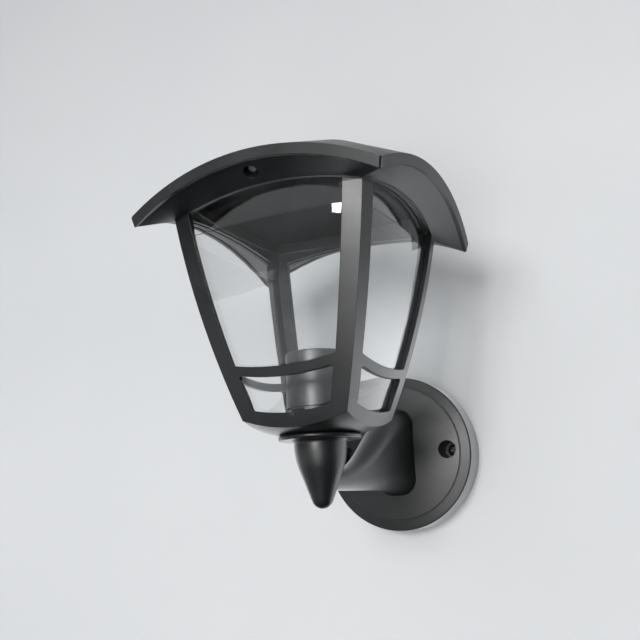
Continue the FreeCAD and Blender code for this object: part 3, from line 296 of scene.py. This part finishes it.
def finish_nodes():
    """Each CAD node's own material."""
    zinc = metal("zinc_steel", (0.80, 0.81, 0.83), (0.55, 0.55, 0.54), 0.42)
    brass = metal("brass", (0.74, 0.56, 0.26), (0.40, 0.27, 0.12), 0.28)
    ceramic = pale_moulding("insulator", (0.74, 0.70, 0.62), (0.64, 0.59, 0.50), 0.35)
    nylon = pale_moulding("terminal_plastic", (0.78, 0.78, 0.74), (0.70, 0.70, 0.65), 0.45)
    worn_by = {
        moulded_black(): ("roof_canopy", "eave_frame", "lantern_cage", "collar_ring",
                          "bracket_arm", "wall_base", "cord_clamp"),
        gloss_black(): ("holder_sleeve", "holder_cap"),
        clear_plastic(): ("clear_diffuser",),
        soft_rubber(): ("seal_washer", "wall_gasket", "cable_grommet"),
        zinc: ("roof_screws", "stack_screws", "arm_screws", "clamp_screws",
               "terminal_screws", "terminal_block_screw"),
        brass: ("terminal_sleeves", "screw_shell", "centre_contact", "side_contact"),
        ceramic: ("holder_insert",),
        nylon: ("terminal_block",),
        wire_insulation(): ("lamp_wires",),
    }
    for material, names in worn_by.items():
        for name in names:
            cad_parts[name].material_slots[0].material = material


def head_height(x, z):
    """How far a pan head with a cross recess stands out at a place on it, rounded off towards its edge."""
    share = min(1.0, math.hypot(x, z) / HEAD_RADIUS)
    crowned = HEAD_HEIGHT * (1.0 - (1.0 - HEAD_CROWN) * share ** 2)
    pan = crowned * (1.0 - share ** HEAD_EDGE_POWER)
    along, across = max(abs(x), abs(z)), min(abs(x), abs(z))
    if across < CROSS_HALF_WIDTH and along < CROSS_REACH:
        return pan - CROSS_DEPTH * (1.0 - along / CROSS_REACH) ** CROSS_FLOOR_POWER
    return pan


def wall_screw(name, x, material):
    """The head of a wall screw, seated on the floor of its well."""
    mesh = bpy.data.meshes.new(name)
    spots, faces = [], []
    for ring in range(HEAD_RINGS + 1):
        radius = HEAD_RADIUS * ring / HEAD_RINGS
        for spoke in range(HEAD_SPOKES):
            turn = 2 * math.pi * spoke / HEAD_SPOKES
            across, up = radius * math.cos(turn), radius * math.sin(turn)
            spots.append((across, -head_height(across, up), up))
            beside = (spoke + 1) % HEAD_SPOKES
            if ring:
                inner, outer = (ring - 1) * HEAD_SPOKES, ring * HEAD_SPOKES
                faces.append((inner + spoke, inner + beside, outer + beside, outer + spoke))
    mesh.from_pydata(spots, [], faces)
    mesh.materials.append(material)
    screw = bpy.data.objects.new(name, mesh)
    screw.location = (x, -WELL_BOTTOM, 0.0)
    bpy.context.scene.collection.objects.link(screw)
    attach(screw, "lantern")


def wall_screws():
    """The head of a wall screw in each of the base's two wells."""
    blacked = metal("blacked_screw", (0.05, 0.052, 0.055), (0.02, 0.02, 0.02), 0.34)
    wall_screw("wall_screw_right", FIXING_PLACE, blacked)
    wall_screw("wall_screw_left", -FIXING_PLACE, blacked)


def painted_board():
    """The smooth pale board behind the lantern, with painted shade towards its top, seen only from its
    front.
    """
    made = Finish("painted_board", (WALL_GREY,) * 3, 0.5, Specular_IOR_Level=0.07)
    drift = made.noise(400 * MM, 2.0)
    streaks = made.noise(60 * MM, 3.0, place=made.stretched((1.0, 1.0, 0.3)))
    tone = made.mix(made.span(drift, 0.0, 1.0), (0.485, 0.495, 0.503), (0.515, 0.523, 0.53))
    # painted shade: the board darkens upwards between two heights
    painted_top_shade = made.span(made.along(made.place, "Z"), 0.0, WALL_DIM_SHARE, WALL_DIM_FROM, WALL_DIM_TO)
    made.feed("Base Color", made.mix(painted_top_shade, tone, (0.28, 0.285, 0.295)))
    made.feed("Roughness", made.span(streaks, 0.45, 0.6))
    made.feed("Normal", made.relief(streaks, 0.4 * MM, 0.2))
    behind = made.node("ShaderNodeNewGeometry").outputs["Backfacing"]
    gone = made.node("ShaderNodeBsdfTransparent").outputs[0]
    made.show(made.choose(behind, made.shader.outputs[0], gone))
    return made.material


def painted_reflection_card():
    """A painted reflection: a pale glow that only reflections see. It fades towards the card's top, and as
    painted shade around the base's rim.
    """
    made = Finish("painted_reflection_card", (0.02, 0.02, 0.021), 0.8)
    away = made.node("ShaderNodeVectorMath", {0: made.place}, operation="LENGTH").outputs["Value"]
    upwards = made.span(made.along(made.place, "Z"), LIGHT_CARD_GLOW, LIGHT_CARD_TOP_GLOW,
                        LIGHT_CARD_FADE, LIGHT_CARD_TOP)
    # painted shade: the glow is weaker near the base's rim
    outwards = made.span(away, LIGHT_CARD_RIM_GLOW, LIGHT_CARD_GLOW,
                         LIGHT_CARD_RIM_START, LIGHT_CARD_RIM_END)
    made.set("Emission Color", (*ROOM_COLOUR, 1.0))
    made.feed("Emission Strength", made.maths("MINIMUM", upwards, outwards))
    return made.material


def painted_shade_card():
    """Painted shade: the near-black face of the card below the base, which only reflections see."""
    made = Finish("painted_shade_card", (0.02, 0.02, 0.021), 0.8)
    made.feed("Base Color", made.mix(made.noise(80 * MM), (0.015, 0.015, 0.016), (0.03, 0.03, 0.031)))
    return made.material


def pale_floor():
    """The floor's matt pale paint, a little uneven."""
    made = Finish("pale_floor", (FLOOR_GREY,) * 3, 0.6)
    patches = made.span(made.noise(300 * MM, 2.0), 0.0, 1.0)
    made.feed("Base Color", made.mix(patches, (0.68, 0.69, 0.70), (0.72, 0.725, 0.73)))
    return made.material


def room_air():
    """The room in front of the board: its light changes with height, and fades towards the right."""
    world = bpy.data.worlds.new("room_air")
    world.use_nodes = True
    air = Chains(world.node_tree)
    way = air.node("ShaderNodeTexCoord").outputs["Generated"]
    height = air.span(air.along(way, "Z"), 0.0, 1.0, -1.0, 1.0)
    bands = air.node("ShaderNodeValToRGB", {"Fac": height})
    ramp = bands.color_ramp.elements
    while len(ramp) < len(ROOM_BANDS):
        ramp.new(1.0)
    for stop, (level, share) in zip(ramp, ROOM_BANDS):
        stop.position = (level + 1.0) / 2
        stop.color = (share, share, share, 1.0)
    sideways = air.span(air.along(way, "X"), 0.0, ROOM_LIGHT, 1.0, -1.0)
    strength = air.maths("MULTIPLY", bands.outputs["Color"], sideways)
    lit = air.tree.nodes["Background"]
    lit.inputs["Color"].default_value = (*ROOM_COLOUR, 1.0)
    air.join(strength, lit.inputs["Strength"])
    plain = air.node("ShaderNodeBackground", {"Color": (*ROOM_SEEN, 1.0)})
    rays = air.node("ShaderNodeLightPath")
    shown = lit.outputs[0]
    for kind in ("Is Transmission Ray", "Is Camera Ray"):
        shown = air.choose(rays.outputs[kind], shown, plain.outputs[0])
    air.join(shown, air.tree.nodes["World Output"].inputs["Surface"])
    return world


def plate(name, corners, material):
    """A flat four-cornered sheet of the studio."""
    mesh = bpy.data.meshes.new(name)
    mesh.from_pydata(corners, [], [(0, 1, 2, 3)])
    made = bpy.data.objects.new(name, mesh)
    bpy.context.scene.collection.objects.link(made)
    mesh.materials.append(material)
    return made


def standing_sheet(name, place, low, high, material):
    """A sheet as wide as the board, upright between two heights and at one distance from the wall."""
    half = WALL_SIZE / 2
    corners = [(-half, place, low), (half, place, low), (half, place, high), (-half, place, high)]
    return plate(name, corners, material)


def lying_sheet(name, half, height, material):
    """A square sheet that lies flat at one height."""
    corners = [(-half, -half, height), (half, -half, height), (half, half, height), (-half, half, height)]
    return plate(name, corners, material)


def hide_from(made, *rays):
    """Keeps a sheet or a lamp from being met by those kinds of ray."""
    for kind in rays:
        setattr(made, "visible_" + kind, False)


def studio():
    """The board behind the lantern, two cards that only reflections see (a painted reflection and painted
    shade), the floor and the room's light.
    """
    wall = standing_sheet("backdrop", WALL_GAP, FLOOR_LEVEL, WALL_SIZE / 2, painted_board())
    hide_from(wall, "diffuse", "shadow")
    # painted shade in reflections: a near-black card below the glowing one
    dark = standing_sheet("painted_shade_card", CARD_PLACE, FLOOR_LEVEL, DARK_CARD_TOP, painted_shade_card())
    # painted reflection: a glowing card that only reflections see
    light = standing_sheet("painted_reflection_card", CARD_PLACE, DARK_CARD_TOP, LIGHT_CARD_TOP, painted_reflection_card())
    for card in (dark, light):
        hide_from(card, "camera", "diffuse", "shadow", "transmission")
    ground = lying_sheet("floor", FLOOR_SIZE / 2, FLOOR_LEVEL, pale_floor())
    hide_from(ground, "glossy", "shadow")
    bpy.context.scene.world = room_air()


def lamp(name, place, aim, width, height, watts):
    """A flat rectangular lamp, which isn't seen through the glazing."""
    light = bpy.data.lights.new(name, "AREA")
    light.shape = "RECTANGLE"
    light.size = width
    light.size_y = height
    light.energy = watts
    made = bpy.data.objects.new(name, light)
    made.location = place
    made.rotation_euler = (Vector(aim) - Vector(place)).to_track_quat("-Z", "Y").to_euler()
    hide_from(made, "transmission")
    bpy.context.scene.collection.objects.link(made)


def camera():
    """The photograph's own view."""
    lens = bpy.data.cameras.new("photo_camera")
    lens.sensor_fit = "HORIZONTAL"
    lens.sensor_width = SENSOR_WIDTH_MM
    lens.lens = FOCAL_PIXELS / PHOTO_WIDTH * SENSOR_WIDTH_MM
    lens.clip_start = CAMERA_NEAREST
    flat = math.cos(CAMERA_ELEVATION)
    ahead = Vector((-math.sin(CAMERA_AZIMUTH) * flat, math.cos(CAMERA_AZIMUTH) * flat,
                    -math.sin(CAMERA_ELEVATION)))
    right = ahead.cross(Vector((0.0, 0.0, 1.0))).normalized()
    up = right.cross(ahead)
    rolled_right = right * math.cos(CAMERA_ROLL) + up * math.sin(CAMERA_ROLL)
    rolled_up = up * math.cos(CAMERA_ROLL) - right * math.sin(CAMERA_ROLL)
    turned = Matrix((rolled_right, rolled_up, -ahead)).transposed().to_4x4()
    made = bpy.data.objects.new("photo_camera", lens)
    made.matrix_world = Matrix.Translation(CAMERA_PLACE) @ turned
    bpy.context.scene.collection.objects.link(made)
    bpy.context.scene.camera = made


finish_nodes()
wall_screws()
studio()
for each in LAMPS:
    lamp(*each)
camera()
bpy.context.scene.view_settings.view_transform = "Standard"
